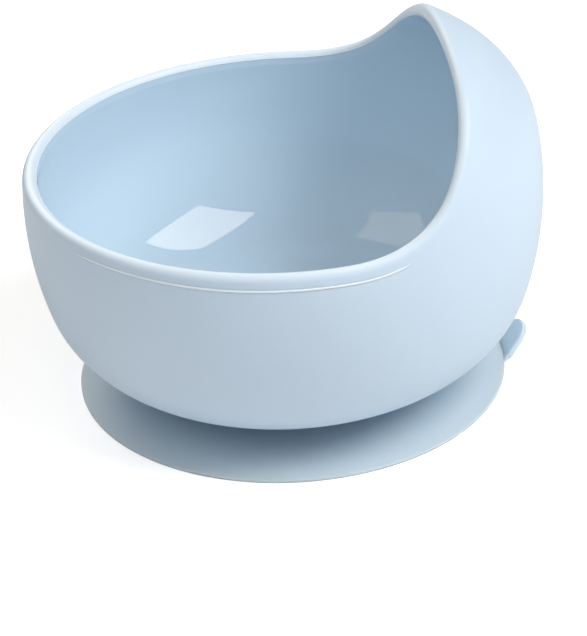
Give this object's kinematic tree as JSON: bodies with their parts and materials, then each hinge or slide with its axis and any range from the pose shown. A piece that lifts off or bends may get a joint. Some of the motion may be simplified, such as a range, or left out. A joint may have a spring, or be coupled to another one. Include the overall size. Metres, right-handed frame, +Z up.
{
  "type": "suction bowl",
  "caption": "Soft baby bowl with one high curved wall, which lifts off a press-down suction base with a flexing skirt and a small pull tab.",
  "frame": {"origin": "on the table, on the axis of the bowl and its base", "axes": "+Z up along the bowl's axis, +X towards the high wall and the pull tab; the XZ plane is the plane of symmetry"},
  "size_m": [0.125, 0.125, 0.0858],
  "materials": {
    "bowl_silicone": "pale blue silicone, fine matte outside and smooth polished inside",
    "base_silicone": "pale blue silicone, satin above and polished under the cup"
  },
  "bodies": {
    "seal_lip": {"seal_lip": "base_silicone", "base_skirt": "base_silicone"},
    "base_hub": {"base_hub": "base_silicone"},
    "bowl": {"bowl": "bowl_silicone"},
    "release_tab": {"release_tab": "base_silicone"}
  },
  "joints": [
    {"name": "suction_press", "type": "slide", "parent": "seal_lip", "child": "base_hub", "axis": [0, 0, 1], "range_m": [-0.002, 0], "deforming": ["base_skirt"]},
    {"name": "lift_off", "type": "slide", "parent": "base_hub", "child": "bowl", "axis": [0, 0, 1], "range_m": [0, 0.04]},
    {"name": "tab_pull", "type": "hinge", "parent": "seal_lip", "child": "release_tab", "pos_m": [0.054, 0, 0.0011], "axis": [0, -1, 0], "range_deg": [-30, 60], "stiffness_Nm_per_rad": 0.002}
  ]
}
